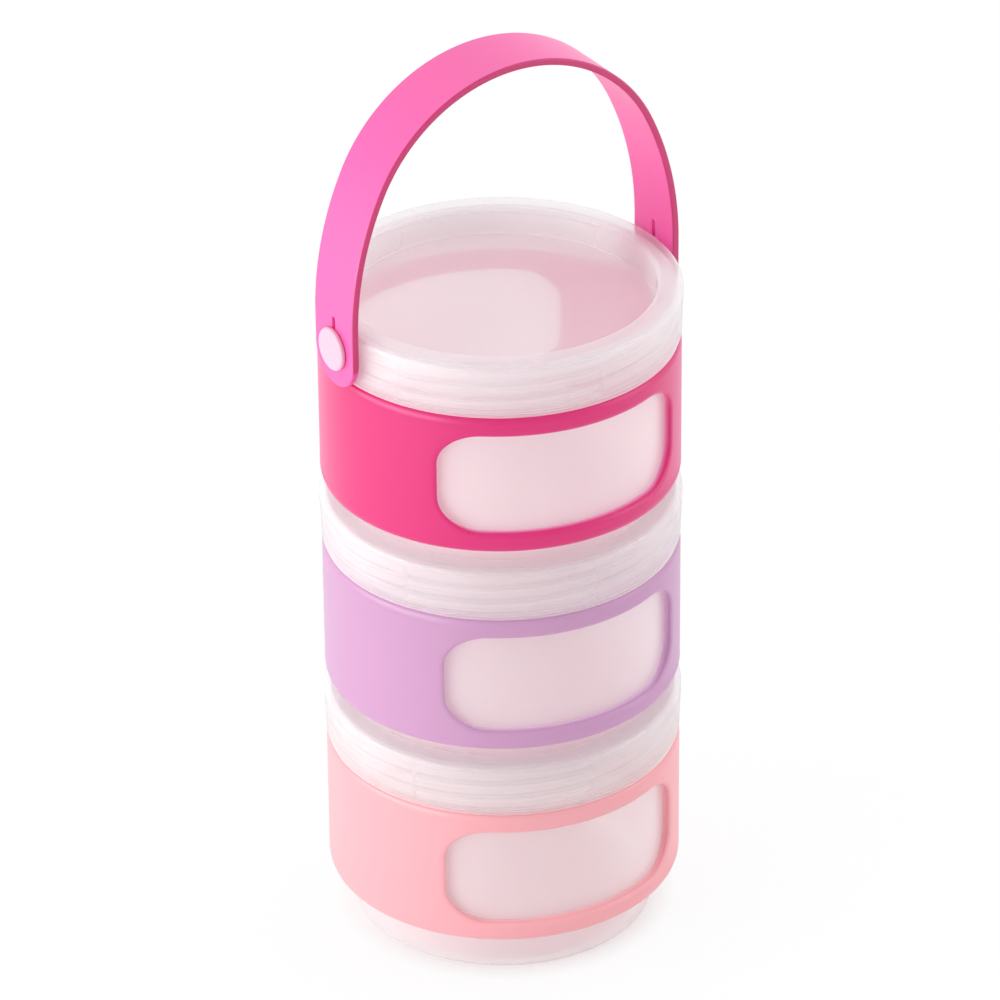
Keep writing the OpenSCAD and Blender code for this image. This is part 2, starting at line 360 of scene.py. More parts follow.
def pot_profile(s):
    """The closed section of a pot: floor and foot from the axis outwards, body, stop ring, neck, lip and the cavity
    back to the axis, as (r, z, rounding) in the pot's own heights."""
    foot, ring_w, hollow, foot_edge, wall = mm(s, "foot_r foot_ring_w foot_recess foot_edge_r wall")
    shoulder_z, shoulder, body = mm(s, "shoulder_z shoulder_r body_r")
    ring_z, ring_t, ring_r = mm(s, "stop_ring_z stop_ring_t stop_ring_r")
    neck, lip_z, lip = mm(s, "neck_r lip_z lip_r")
    bore = body - wall
    step_z = shoulder_z + wall
    corners = [
        (0, hollow, 0), (foot - ring_w, hollow, 0.35), (foot - ring_w, 0, 0.3), (foot, 0, foot_edge),
        (foot, shoulder_z, 0.5), (body, shoulder_z, shoulder), (body, ring_z, 0.2), (ring_r, ring_z, 0.3),
        (ring_r, ring_z + ring_t, 0.3), (neck, ring_z + ring_t, 0.3), (neck, lip_z, lip), (bore, lip_z, 0.5),
        (bore, step_z, wall), (foot - wall, step_z, 0.8), (foot - wall, hollow + wall, wall), (0, hollow + wall, 0),
    ]
    return fillet(corners, PROFILE_STEP)


def make_pot(tier, pots, threads):
    """A pot: its section turned about the axis, with the screw thread raised on its neck, between the roundings over
    the stop ring and under the lip."""
    height, start = mm(threads, "height start_z")
    neck, lip, ring = mm(pots, "neck_r lip_z stop_ring_z")
    profile = denser(pot_profile(pots), ring + 1.2, lip - 0.6, neck - 0.5, neck + 0.5, THREAD_STEP)

    def shape(r, z, a):
        """The thread on the neck, and nothing elsewhere."""
        rise, place, fade = thread_shape(z, a, threads, start)
        on_neck = (r > neck - 0.05) & (z > ring + 1.1)
        return height * rise * on_neck, place, fade * on_neck

    return raised_to(tier, lathe(f"pot_{TIERS[tier]}", profile, shape))


def lid_profile(s):
    """The closed section of a lid: the well's floor and wall, the rim, the skirt, the channel for the pot's lip and
    the plug back to the axis, as (r, z, rounding)."""
    shoulder, hem, bore, hem_z, rim_z = mm(s, "shoulder_r hem_r skirt_in_r skirt_z rim_z")
    outer, inner, top = mm(s, "rim_outer_r rim_inner_r top_t")
    well, wall, floor = mm(s, "well_r well_wall well_z")
    corners = [
        (0, floor, 0), (well, floor, 0.7), (well, rim_z, inner), (shoulder, rim_z, outer),
        (shoulder, rim_z - outer - 0.4, 6.0), (hem, hem_z, 0.45), (bore, hem_z, 0.3), (bore, rim_z - top, 0.4),
        (well + wall, rim_z - top, 0.4), (well + wall, floor - top, 1.0), (0, floor - top, 0),
    ]
    return fillet(corners, PROFILE_STEP)


def make_lid(tier, lids, threads):
    """A lid: its section turned about the axis, with the screw thread raised inwards on the skirt's bore. The thread
    also shows on the skirt's outside, where moulding leaves faint lines over its flanks."""
    height, start, drop = mm(threads, "height start_z drop")
    bore, hem, hem_z, rim_z, top, outer = mm(lids, "skirt_in_r hem_r skirt_z rim_z top_t rim_outer_r")
    low, high = hem_z + 0.3, rim_z - top - 0.4
    profile = denser(lid_profile(lids), low, high, bore - 0.3, bore + 0.3, THREAD_STEP)
    profile = denser(profile, low, rim_z - outer, hem - 0.3, hem + 2.0, LINE_STEP)

    def shape(r, z, a):
        """The thread on the bore, and its lines on the outside, fading over 0.6 mm at the hem and the rim."""
        rise, place, _ = thread_shape(z, a, threads, start - drop, threads.lid_skip)
        inside = (np.abs(r - bore) < 0.05) & (z > low) & (z < high)
        shown = np.clip(np.minimum(z - hem_z - 0.4, rim_z - outer - z) / 0.6, 0, 1) * (r > hem - 0.2)
        return -height * rise * inside, place, threads.shown * shown

    return raised_to(tier, lathe(f"cover_{TIERS[tier]}", profile, shape))


def make_seal(tier):
    """A seal ring with a soft round section, in the channel over the pot's lip."""
    width, rounding = 3.1, 0.45
    low, high = (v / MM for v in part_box(f"seal_{TIERS[tier]}"))
    outer, inner = high.x, high.x - width
    under, over = low.z + SEAL_GAP, high.z - SEAL_GAP
    start = ((inner + outer) / 2, under, 0)
    section = [(r, z, rounding) for r, z in ((outer, under), (outer, over), (inner, over), (inner, under))]
    return lathe(f"seal_ring_{TIERS[tier]}", fillet([start, *section, start]))


def window_outline(w, h, r, side, top):
    """Points (x, z) and outward normals around a rounded rectangle, from the middle of its lower right corner: side
    steps up the right, top steps along the top, and the same down the left and along the bottom. On a corner the point
    is centre + r * (cos a, sin a), and its normal is (cos a, sin a)."""
    a, b, arc = w / 2 - r, h / 2 - r, math.pi * r / 4

    def edge(reach, half, s):
        """A side at distance reach + r, straight for 2 * half, by length s from the lower corner's middle."""
        lower, upper = s < arc, s > arc + 2 * half
        angle = np.where(lower, (s - arc) / r, np.where(upper, (s - arc - 2 * half) / r, 0.0))
        along = np.where(lower, -half, np.where(upper, half, s - arc - half))
        normal = np.stack([np.cos(angle), np.sin(angle)], 1)
        return np.stack([np.full_like(along, reach), along], 1) + r * normal, normal

    right, right_n = edge(a, b, steps(0, 2 * arc + 2 * b, side))
    upper, upper_n = (p[:, ::-1] * (-1, 1) for p in edge(b, a, steps(0, 2 * arc + 2 * a, top)))
    return np.concatenate([right, upper, -right, -upper]), np.concatenate([right_n, upper_n, -right_n, -upper_n])


def box_outline(w, h, side, top):
    """Points around a plain rectangle in the same order and number as window_outline gives."""
    right = np.stack([np.full(side, w / 2), h * (steps(0, 1, side) - 0.5)], 1)
    upper = np.stack([w * (0.5 - steps(0, 1, top)), np.full(top, h / 2)], 1)
    return np.concatenate([right, upper, -right, -upper])


def make_sleeve(tier, s):
    """A sleeve: half of it is a grid of loops, from the half's border over the inner skin to the window's outline, out
    through the window's straight wall, over its rounded edge, and across the outer skin to the border. A loop's point
    is (r sin p, -r cos p, z). Near the upper and lower edge, and round the window, the outer radius falls as a quarter
    ellipse. The other half is turned by 180 degrees."""
    outer, inner, bottom, height, edge_w, edge_d = mm(s, "outer_r inner_r bottom_z height edge_w edge_d")
    win_w, win_h, corner, near_w, near_d = mm(s, "window_w window_h corner_r window_edge_w window_edge_d")
    side, top = 34, 112
    inner_loops, wall_loops, edge_loops, outer_loops = 14, 4, 9, 22
    window, normal = window_outline(win_w, win_h, corner, side, top)
    count = len(window)
    quarter = np.linspace(0, math.pi / 2, edge_loops)

    def loop(flat, r):
        """A loop (p, z, r) from points (p, z) and their radius."""
        return np.column_stack([flat, np.broadcast_to(r, count)])

    def through(flat, r):
        """A loop on the window's wall, where x is fixed: p = asin(x / r)."""
        return loop(np.column_stack([np.arcsin(np.clip(flat[:, 0] / r, -1, 1)), flat[:, 1]]), r)

    def outside(flat):
        """A loop on the outer skin: the radius falls by edge_d * (1 - sqrt(1 - part * part)) in the last edge_w."""
        part = np.clip(1 - (height / 2 - np.abs(flat[:, 1])) / edge_w, 0, 1)
        return loop(flat, outer - edge_d * (1 - np.sqrt(1 - part * part)))

    def border(inset):
        """The half's border, moved inwards by inset."""
        return box_outline(math.pi - 2 * inset / outer, height - 2 * inset, side, top)

    start = through(window, inner)[:, :2]
    loops = [loop((1 - w) * start + w * border(0), inner) for w in np.linspace(1, 0, inner_loops)]
    loops += [through(window, r) for r in np.linspace(inner, outer - near_d, wall_loops)[1:]]
    for a in quarter[1:]:
        loops.append(through(window + normal * near_w * (1 - math.cos(a)), outer - near_d * (1 - math.sin(a))))
    start = loops[-1][:, :2]
    loops += [outside((1 - w) * start + w * border(edge_w)) for w in np.linspace(0, 1, outer_loops)[1:-1]]
    loops += [outside(border(inset)) for inset in edge_w * (1 - np.sin(quarter))]
    p, z, r = np.moveaxis(np.stack(loops), -1, 0)
    rows = len(loops)
    seam = np.arange(count) % (side + top) >= side
    faces = np.concatenate([ring_faces(rows, count), bridge(seam, (rows - 1) * count, 0)])
    points, quads = [], []
    middle = tier * TIER_PITCH / MM + bottom + height / 2
    for half in (0, 1):
        turned = p + s.turns[tier] + half * math.pi
        points.append(np.stack([r * np.sin(turned), -r * np.cos(turned), z + middle], -1).reshape(-1, 3))
        quads.append(faces + half * rows * count)
    return piece(f"sleeve_skin_{TIERS[tier]}", np.concatenate(points), np.concatenate(quads))


def strap_path(s):
    """The strap's outer face seen from the front, as a function of the length v from a peg's centre: a straight leg, a
    shoulder arc and half of the crown. It gives the point (x, z) and the outward normal for v up to half the strap,
    and that length."""
    outer_x, crown, leg = mm(s, "outer_x crown_r leg_h")
    a = s.crown_angle
    shoulder = (outer_x - crown * math.sin(a)) / (1 - math.sin(a))
    leg_top = PEG_Z / MM + leg
    crown_z = leg_top + (shoulder - crown) * math.cos(a)
    bend = math.pi / 2 - a
    arc_v = leg + shoulder * bend

    def at(v):
        """The arcs' points are centre + radius * (cos angle, sin angle)."""
        angle = np.clip((v - leg) / shoulder, 0, bend) + np.clip((v - arc_v) / crown, 0, None)
        cos, sin = np.cos(angle), np.sin(angle)
        on_crown, on_arc = v > arc_v, v > leg
        x = np.where(on_crown, crown * cos, np.where(on_arc, outer_x - shoulder + shoulder * cos, outer_x))
        z = np.where(on_crown, crown_z + crown * sin, np.where(on_arc, leg_top + shoulder * sin, leg_top - leg + v))
        return x, z, cos, sin

    return at, arc_v + crown * a


def make_strap(s):
    """The strap. Its flat pattern is (w, v): across and along from a peg's centre. Each end is a grid of loops from the
    keyhole outwards to the rounded end, and the middle is a plain grid. Half the thickness at distance d from the
    pattern's border is t/2 - e + sqrt(e * e - (e - d)**2), and the whole is bent along the path."""
    width, thick, edge, end = mm(s, "width thickness edge_r end")
    hole, slit_w, slit_top = mm(s, "hole_r slit_w slit_top")
    half, tip_v, slit_v = width / 2, width / 2 - end, slit_top - slit_w / 2
    # where an end's grid gives way to the middle's, and the rounding of the keyhole's edge, in millimetres
    cell_v, hole_edge = 18.0, 0.15
    n_across, n_side, n_low, n_middle = 40, 44, 48, 110
    path, reach = strap_path(s)
    depths = edge * (1 - np.cos(np.linspace(0, math.pi / 2, 6)))
    inner = np.linspace(edge, width - edge, n_across)[1:-1]
    across = half - np.concatenate([depths, inner, width - depths[::-1]])
    n_top, n_arc = len(across) - 1, n_side // 2

    def straight(w, v):
        """Points up or down a line at w."""
        return np.stack([np.full(len(v), w), v], 1)

    def arc(r, angles, v=0.0):
        """Points (r cos a, v + r sin a)."""
        return np.stack([r * np.cos(angles), v + r * np.sin(angles)], 1)

    def outline(d):
        """The end's border moved inwards by d, from the right side's foot: up, over the top line, down and around."""
        up = (cell_v - d - tip_v) * steps(0, 1, n_side)
        top = np.stack([across[:-1] * (half - d) / half, np.full(n_top, cell_v - d)], 1)
        bottom = arc(half - d, steps(math.pi, math.tau, n_low), tip_v)
        return np.concatenate([straight(half - d, tip_v + up), top, straight(d - half, cell_v - d - up), bottom])

    def keyhole(d):
        """The keyhole's border moved outwards by d, in the outline's order: the hole's side and the slit's, the slit's
        round end, the same down the other side, and the hole's lower half."""
        r, w = hole + d, slit_w / 2 + d
        join = math.acos(w / r)
        join_v = r * math.sin(join)
        return np.concatenate([
            arc(r, steps(0, join, n_arc)),
            straight(w, steps(join_v, slit_v, n_side - n_arc)),
            arc(w, steps(0, math.pi, n_top), slit_v),
            straight(-w, steps(slit_v, join_v, n_side - n_arc)),
            arc(r, steps(math.pi - join, math.pi, n_arc)),
            arc(r, steps(math.pi, math.tau, n_low)),
        ])

    def half_thick(w, v):
        """Half the thickness at a place of the pattern."""
        d = np.clip(half - np.where(v < tip_v, np.hypot(w, np.minimum(v - tip_v, 0)), np.abs(w)), 0, edge)
        return thick / 2 - edge + np.sqrt(np.maximum(edge * edge - (edge - d) ** 2, 0))

    def face(flat):
        """A loop of the front face, (w, v, half the thickness)."""
        return np.column_stack([flat, half_thick(flat[:, 0], flat[:, 1])])

    def bent(flat, side):
        """The pattern's points carried onto the path, on the right for side 1 and on the left for -1."""
        x, z, nx, nz = path(flat[..., 1])
        out = flat[..., 2] - thick / 2
        return np.stack([side * (x + nx * out), flat[..., 0], z + nz * out], -1).reshape(-1, 3)

    front = []
    for a in np.linspace(0, math.pi / 2, 4):
        flat = keyhole(hole_edge * (1 - math.cos(a)))
        front.append(np.column_stack([flat, np.full(len(flat), thick / 2 - hole_edge * (1 - math.sin(a)))]))
    start, near = front[-1][:, :2], outline(edge)
    front += [face((1 - w) * start + w * near) for w in np.linspace(0, 1, 12)[1:-1]]
    front = np.stack(front + [face(outline(d)) for d in depths[::-1]])
    back = np.array([1, 1, -1])
    sheet = np.concatenate([front[::-1], front * back])
    rows, count = sheet.shape[:2]
    k = np.arange(count)
    sides = bridge((k < n_side) | (k >= n_side + n_top), 0, (rows - 1) * count)
    sheet_faces = np.concatenate([ring_faces(rows, count), sides])

    w, v = np.meshgrid(across, np.linspace(cell_v, reach, n_middle))
    top = np.stack([w, v, half_thick(w, v)], -1)
    ring = np.concatenate([top, (top * back)[:, ::-1]], 1)
    points, quads, offset = [], [], 0
    for side in (1, -1):
        for flat, faces in ((sheet, sheet_faces), (ring, ring_faces(*ring.shape[:2]))):
            points.append(bent(flat, side))
            quads.append(faces + offset)
            offset += len(points[-1])
    return piece("carry_strap", np.concatenate(points), np.concatenate(quads))


def make_peg(side, s):
    """A peg: its section turned about the pegs' line, with a slightly domed head. Along the axis x = side * u, and
    around it (y, z) = r * (cos a, sin a)."""
    shank, head, thick, head_x, shank_x = mm(s, "peg_r head_r head_t head_x shank_x")
    face = head_x + thick
    corners = [
        (0, shank_x, 0), (shank, shank_x, 0.2), (shank, head_x, 0.1), (head, head_x, 0.35),
        (head, face - 0.12, 0.6), (head * 0.6, face - 0.02, 4.0), (0, face, 0),
    ]
    profile = fillet(corners, 0.6)
    a = steps(0, math.tau, PEG_AROUND)
    r, u = profile[:, :1], profile[:, 1:]
    points = np.stack(np.broadcast_arrays(side * u, r * np.cos(a), PEG_Z / MM + r * np.sin(a)), -1).reshape(-1, 3)
    return piece("strap_peg_" + ("left" if side < 0 else "right"), points, ring_faces(len(profile), PEG_AROUND))


# ---------------------------------------------------------------- finishes


def feed(tree, made, inputs):
    """Fills a node's inputs, {name or number: value}: a socket is linked, and anything else but None is a constant."""
    for key, value in inputs.items():
        if isinstance(value, bpy.types.NodeSocket):
            tree.links.new(value, made.inputs[key])
        elif value is not None:
            made.inputs[key].default_value = value


def node(tree, kind, *given, **values):
    """A node with its properties set. given fills its inputs in order, and a name that is no property is an input."""
    made = tree.nodes.new(kind)
    inputs = dict(enumerate(given))
    for key, value in values.items():
        if hasattr(made, key):
            setattr(made, key, value)
        else:
            inputs[key.replace("_", " ")] = value
    feed(tree, made, inputs)
    return made


def maths(tree, operation, *terms, **options):
    """The result of a Math node."""
    return node(tree, "ShaderNodeMath", *terms, operation=operation, **options).outputs[0]


def mapped(tree, value, **options):
    """The result of a Map Range node."""
    return node(tree, "ShaderNodeMapRange", Value=value, **options).outputs["Result"]


def blended(tree, share, first, second):
    """The colour between two, with the second's share."""
    made = node(tree, "ShaderNodeMix", data_type="RGBA")
    feed(tree, made, {0: share, 6: first, 7: second})
    return made.outputs[2]


def mixed(tree, share, first, second):
    """The mix of two shaders, with the second's share."""
    return node(tree, "ShaderNodeMixShader", share, first, second).outputs[0]


def new_material(name):
    """A material with nodes, its node tree and the tree's Principled surface."""
    material = bpy.data.materials.new(name)
    material.use_nodes = True
    return material, material.node_tree, material.node_tree.nodes["Principled BSDF"]


def new_group(name, inputs, outputs):
    """A shader node group with the sockets {name: default, ...} in and {name: kind, ...} out. It gives the group, the
    sockets that bring its inputs, and its output node."""
    group = bpy.data.node_groups.new(name, "ShaderNodeTree")
    for label, value in inputs.items():
        kind = "NodeSocketFloat" if isinstance(value, float) else "NodeSocketColor"
        group.interface.new_socket(label, in_out="INPUT", socket_type=kind).default_value = value
    for label, kind in outputs.items():
        group.interface.new_socket(label, in_out="OUTPUT", socket_type="NodeSocket" + kind)
    return group, group.nodes.new("NodeGroupInput").outputs, group.nodes.new("NodeGroupOutput")


def moulded_skin():
    """The skin that moulding leaves: the colour wanders a little in wide soft patches, roughness follows, and a fine
    grain raises the normal. Patch and Grain are scales per metre, and Depth is the grain's height."""
    found = bpy.data.node_groups.get("moulded skin")
    if found:
        return found
    group, given, leave = new_group(
        "moulded skin",
        {"Color": WHITE, "Deep": WHITE, "Patch": 40.0, "Grain": 2500.0, "Depth": 0.00002, "Rough low": 0.4,
         "Rough high": 0.5},
        {"Color": "Color", "Roughness": "Float", "Normal": "Vector"},
    )
    where = group.nodes.new("ShaderNodeTexCoord").outputs["Object"]
    patches = node(group, "ShaderNodeTexNoise", Vector=where, Scale=given["Patch"], Detail=3.0, Roughness=0.55)
    wander = patches.outputs["Fac"]
    grain = node(group, "ShaderNodeTexNoise", Vector=where, Scale=given["Grain"], Detail=4.0, Roughness=0.6)
    rough = mapped(group, wander, To_Min=given["Rough low"], To_Max=given["Rough high"])
    raised = node(group, "ShaderNodeBump", Strength=1.0, Height=grain.outputs["Fac"], Distance=given["Depth"])
    colour_out = blended(group, wander, given["Color"], given["Deep"])
    feed(group, leave, {"Color": colour_out, "Roughness": rough, "Normal": raised.outputs["Normal"]})
    return group


def thread_lines():
    """Lines over a thread's flanks, from 0 to 1: smooth hills at the places plus and minus Flank between two
    threads, from the thread attribute's (cos p, sin p, shown)."""
    found = bpy.data.node_groups.get("thread lines")
    if found:
        return found
    group, given, leave = new_group("thread lines", {"Flank": 1.0, "Width": 0.5}, {"Lines": "Float"})
    thread = node(group, "ShaderNodeAttribute", attribute_type="GEOMETRY", attribute_name="thread")
    parts = node(group, "ShaderNodeSeparateXYZ", thread.outputs["Vector"]).outputs
    from_middle = maths(group, "ABSOLUTE", maths(group, "ARCTAN2", parts["Y"], parts["X"]))
    from_flank = maths(group, "ABSOLUTE", maths(group, "SUBTRACT", from_middle, given["Flank"]))
    hill = mapped(group, from_flank, interpolation_type="SMOOTHSTEP", From_Max=given["Width"], To_Min=1.0, To_Max=0.0)
    feed(group, leave, {"Lines": maths(group, "MULTIPLY", hill, parts["Z"])})
    return group


def finish_of(name, rgb, deep, patch, grain, rough, **shader):
    """A material, its tree and its Principled surface, which the moulded skin feeds: the colour wanders from rgb to
    deep times rgb, and the roughness over the range rough. Constants stand on the shader's own sockets."""
    material, tree, surface = new_material(name)
    skin = node(
        tree, "ShaderNodeGroup", node_tree=moulded_skin(), Color=(*rgb, 1), Deep=(*(c * deep for c in rgb), 1),
        Patch=patch, Grain=grain, Depth=GRAIN_DEPTH, Rough_low=rough[0], Rough_high=rough[1],
    ).outputs
    feed(tree, surface, {key.replace("_", " "): value for key, value in shader.items()})
    feed(tree, surface, {"Base Color": skin["Color"], "Roughness": skin["Roughness"], "Normal": skin["Normal"]})
    return material, tree, surface


def silicone(name, rgb, glow, through=0.3, gleam=(1, 1, 1), bloom=0.5, coat=0.0):
    """Soft silicone: a satin face with a gleam and a bloom at grazing angles, and a wall that lets the through share
    of the light pass, in the glow's colour."""
    material, tree, surface = finish_of(
        name, [min(1.0, c / (1 - through)) for c in rgb], deep=0.94, patch=30.0, grain=3000.0, rough=(0.34, 0.40),
        IOR=1.5, Specular_IOR_Level=1.0, Specular_Tint=(*gleam, 1), Sheen_Weight=bloom, Sheen_Roughness=0.35,
        Sheen_Tint=(*gleam, 1), Coat_Weight=coat, Coat_Roughness=0.32,
    )
    onward = node(tree, "ShaderNodeBsdfTranslucent", Color=(*glow, 1)).outputs[0]
    feed(tree, tree.nodes["Material Output"], {"Surface": mixed(tree, through, surface.outputs[0], onward)})
    return material


def painted_light_zone(material, rgb, axes, start, stop):
    """Paints light or shade into a material's colour: turns it to rgb where the length of position * axes passes from
    start to stop, in metres.
    """
    tree = material.node_tree
    surface = tree.nodes["Principled BSDF"]
    where = tree.nodes.new("ShaderNodeTexCoord").outputs["Object"]
    flat = node(tree, "ShaderNodeVectorMath", where, axes, operation="MULTIPLY").outputs[0]
    reach = node(tree, "ShaderNodeVectorMath", flat, operation="LENGTH").outputs["Value"]
    share = mapped(tree, reach, From_Min=start, From_Max=stop)
    plain = surface.inputs["Base Color"].links[0].from_socket
    feed(tree, surface, {"Base Color": blended(tree, share, plain, (*rgb, 1))})
    return material


def frosted(name, rgb, haze, threads):
    """Frosted polypropylene: each face lets light straight through and scatters the haze's share, half of it back and
    half of it onward, under a soft gloss that only outer faces have. The wall is crossed at a slant where it turns
    away, so the share that gets through there is (1 - haze) to the power 1 / cos of the viewing angle. The lines of a
    thread's flanks stand a little proud of it."""
    material, tree, surface = finish_of(name, rgb, deep=0.98, patch=25.0, grain=3500.0, rough=(0.29, 0.36), IOR=1.49)
    turn = math.pi * threads.starts / threads.lead
    lines = node(
        tree, "ShaderNodeGroup", node_tree=thread_lines(),
        Flank=turn * (threads.root + threads.crest), Width=turn * (threads.root - threads.crest) * 0.9,
    ).outputs["Lines"]
    skin = surface.inputs["Normal"].links[0].from_socket
    relief = node(tree, "ShaderNodeBump", Strength=1.0, Distance=0.3 * MM, Height=lines, Normal=skin).outputs[0]
    feed(tree, surface, {"Normal": relief})
    slant = node(tree, "ShaderNodeLayerWeight", Blend=0.5).outputs["Facing"]
    cosine = maths(tree, "MAXIMUM", maths(tree, "SUBTRACT", 1.0, slant), LEAST_COSINE)
    kept = maths(tree, "POWER", 1.0 - haze, maths(tree, "DIVIDE", 1.0, cosine))
    cloudy = maths(tree, "SUBTRACT", 1.0, kept, use_clamp=True)
    glow = node(tree, "ShaderNodeBsdfTranslucent", Color=(*rgb, 1)).outputs[0]
    clear = node(tree, "ShaderNodeBsdfTransparent", Color=WHITE).outputs[0]
    wall = mixed(tree, cloudy, clear, mixed(tree, 0.5, surface.outputs[0], glow))
    gloss = node(tree, "ShaderNodeBsdfGlossy", Color=(0.8, 0.78, 0.79, 1), Roughness=0.26, Normal=relief).outputs[0]
    edge = node(tree, "ShaderNodeFresnel", IOR=1.36).outputs[0]
    inside = tree.nodes.new("ShaderNodeNewGeometry").outputs["Backfacing"]
    outside = maths(tree, "SUBTRACT", edge, inside, use_clamp=True)
    feed(tree, tree.nodes["Material Output"], {"Surface": mixed(tree, outside, wall, gloss)})
    return material


def dress(obj, material, body, nodes):
    """Gives a piece its finish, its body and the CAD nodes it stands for."""
    obj.data.materials.clear()
    obj.data.materials.append(material)
    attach(obj, body)
    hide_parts(*nodes)


# ---------------------------------------------------------------- operators


class SNACK_OT_pots(bpy.types.Operator):
    """Build the three frosted pots"""

    bl_idname = "snack.pots"
    bl_label = "Pots"

    def execute(self, context):
        scene = context.scene
        finish = frosted("frosted pot", scene.snack_colours.pot, 0.38, scene.snack_thread)
        for tier, name in enumerate(TIERS):
            pot = make_pot(tier, scene.snack_pot, scene.snack_thread)
            dress(pot, finish, f"tier_{name}", [f"container_{name}"])
        return {"FINISHED"}


class SNACK_OT_lids(bpy.types.Operator):
    """Build the three screw lids and the seals inside them"""

    bl_idname = "snack.lids"
    bl_label = "Lids and seals"

    def execute(self, context):
        scene = context.scene
        threads = scene.snack_thread
        lid_finish = frosted("frosted lid", scene.snack_colours.lid, 0.2, threads)
        seal_finish = frosted("seal silicone", scene.snack_colours.seal, 0.2, threads)
        for tier, name in enumerate(TIERS):
            lid = make_lid(tier, scene.snack_lid, threads)
            dress(lid, lid_finish, f"cover_{name}", [f"lid_{name}"])
            dress(make_seal(tier), seal_finish, f"cover_ring_{name}", [f"seal_{name}"])
        return {"FINISHED"}


class SNACK_OT_sleeves(bpy.types.Operator):
    """Build the three silicone sleeves with their windows"""

    bl_idname = "snack.sleeves"
    bl_label = "Sleeves"

    def execute(self, context):
        scene = context.scene
        colours = scene.snack_colours
        # rosy and lilac, and the third colour of each finish below, are the inner skin's painted glow: a lighter colour
        # that stands in for light coming through the silicone; the fourth colour is the light the wall really lets
        # through
        rosy, lilac = (1.0, 0.60, 0.65), (0.90, 0.66, 0.93)
        finishes = (
            ("light pink silicone", colours.blush, rosy, rosy, "sleeve_light_pink", {}),
            ("lavender silicone", colours.lavender, lilac, lilac, "sleeve_lavender", {}),
            (
                "hot pink silicone", colours.hot_pink, (1.0, 0.48, 0.92), (1.0, 0.0, 0.40), "sleeve_hot_pink",
                {"through": 0.4, "gleam": (1.0, 0.7, 1.0), "bloom": 1.0, "coat": 0.6},
            ),
        )
        # the inner skin is painted a lighter colour, a painted glow that stands in for light coming through the
        # silicone wall; this paint ends this far outside it, over this distance
        painted_glow_r, fall = scene.snack_sleeve.inner_r + 0.2 * MM, 1.0 * MM
        for tier, name in enumerate(TIERS):
            label, rgb, inner, glow, slot, options = finishes[tier]
            sleeve = make_sleeve(tier, scene.snack_sleeve)
            # painted glow: the inner skin takes the lighter inner colour
            finish = painted_light_zone(silicone(label, rgb, glow, **options), inner, (1, 1, 0), painted_glow_r + fall, painted_glow_r)
            dress(sleeve, finish, f"tier_{name}", [f"sleeve_{name}"])
        return {"FINISHED"}


class SNACK_OT_strap(bpy.types.Operator):
    """Build the carrying strap"""

    bl_idname = "snack.strap"
    bl_label = "Strap"

    def execute(self, context):
        scene = context.scene
        strap = make_strap(scene.snack_strap)
        finish = silicone("strap silicone", scene.snack_colours.strap_pink, (1.0, 0.05, 0.50), through=0.15, bloom=0.3)
        side = scene.snack_strap.width / 2
        # painted shade: the strap's long side faces are turned a deep dark magenta that stands in for the shade they
        # lie in
        painted_light_zone(finish, (0.55, 0.0, 0.14), (0, 1, 0), side - 0.45 * MM, side - 0.2 * MM)
        dress(strap, finish, "handle", ["handle_strap"])
        return {"FINISHED"}


class SNACK_OT_pegs(bpy.types.Operator):
    """Build the two pegs that the strap swings on"""

    bl_idname = "snack.pegs"
    bl_label = "Pegs"

    def execute(self, context):
        scene = context.scene
        rgb = scene.snack_colours.peg
        finish, *_ = finish_of("peg plastic", rgb, deep=0.96, patch=60.0, grain=3000.0, rough=(0.28, 0.36), IOR=1.47)
        for side, name in ((-1, "peg_left"), (1, "peg_right")):
            dress(make_peg(side, scene.snack_strap), finish, "cover_top", [name])
        return {"FINISHED"}


class SNACK_OT_stage(bpy.types.Operator):
    """Set the camera, the floor and the studio light"""

    bl_idname = "snack.stage"
    bl_label = "Stage"

    def execute(self, context):
        set_camera(context.scene)
        set_floor(context.scene)
        set_light(context.scene)
        return {"FINISHED"}


# ---------------------------------------------------------------- stage

# brightness of the room behind the stack and where the camera stands, the way to the camera's side, and the cosines
# of the angle from it between which the room changes
ROOM_LIGHT, FRONT_LIGHT = 1.36, 0.4
FRONT = np.array([-0.18, -0.98, 0.1])
ROOM_SIDE, FRONT_SIDE = 0.1, 0.95
# name, place in metres, watts, width and height in metres, and the height on the axis that every lamp faces
LAMPS = (
    ("left lamp", (-0.60, 0.05, 0.12), 2.5, 0.7, 0.3),
    ("right lamp", (0.80, -0.62, 0.40), 2.4, 0.6, 1.0),
)
LAMP_AIM = 0.12
# the camera's place in metres, focal length in millimetres, and turn from +Y, tilt down and roll in radians
CAMERA_AT = np.array([-746.2, -1177.7, 912.2]) * MM
CAMERA_LENS = 231.07
CAMERA_TURN, CAMERA_TILT, CAMERA_ROLL = math.radians(32.36) - 0.0002, 0.5195, -0.0096
# half the floor's side in metres
FLOOR_HALF = 3.0


def place(obj, right, up, back, at):
    """Puts an object at a point with its X, Y and Z along right, up and back."""
    obj.matrix_world = Matrix(np.vstack([np.column_stack([right, up, back, at]), [0, 0, 0, 1]]).tolist())


def set_camera(scene):
    """The camera: it stands at CAMERA_AT, turned to the side of +Y, tilted down and rolled a little."""
    data = bpy.data.cameras.new("view")
    data.sensor_width = 36.0
    data.lens = CAMERA_LENS
    data.clip_start, data.clip_end = 0.05, 20.0
    turn, tilt, roll = CAMERA_TURN, CAMERA_TILT, CAMERA_ROLL
    ahead = np.array([math.sin(turn) * math.cos(tilt), math.cos(turn) * math.cos(tilt), -math.sin(tilt)])
    right = np.array([math.cos(turn), -math.sin(turn), 0.0])
    up = np.cross(right, ahead)
    right, up = math.cos(roll) * right + math.sin(roll) * up, math.cos(roll) * up - math.sin(roll) * right
    scene.camera = new_object("view", data)
    place(scene.camera, right, up, -ahead, CAMERA_AT)


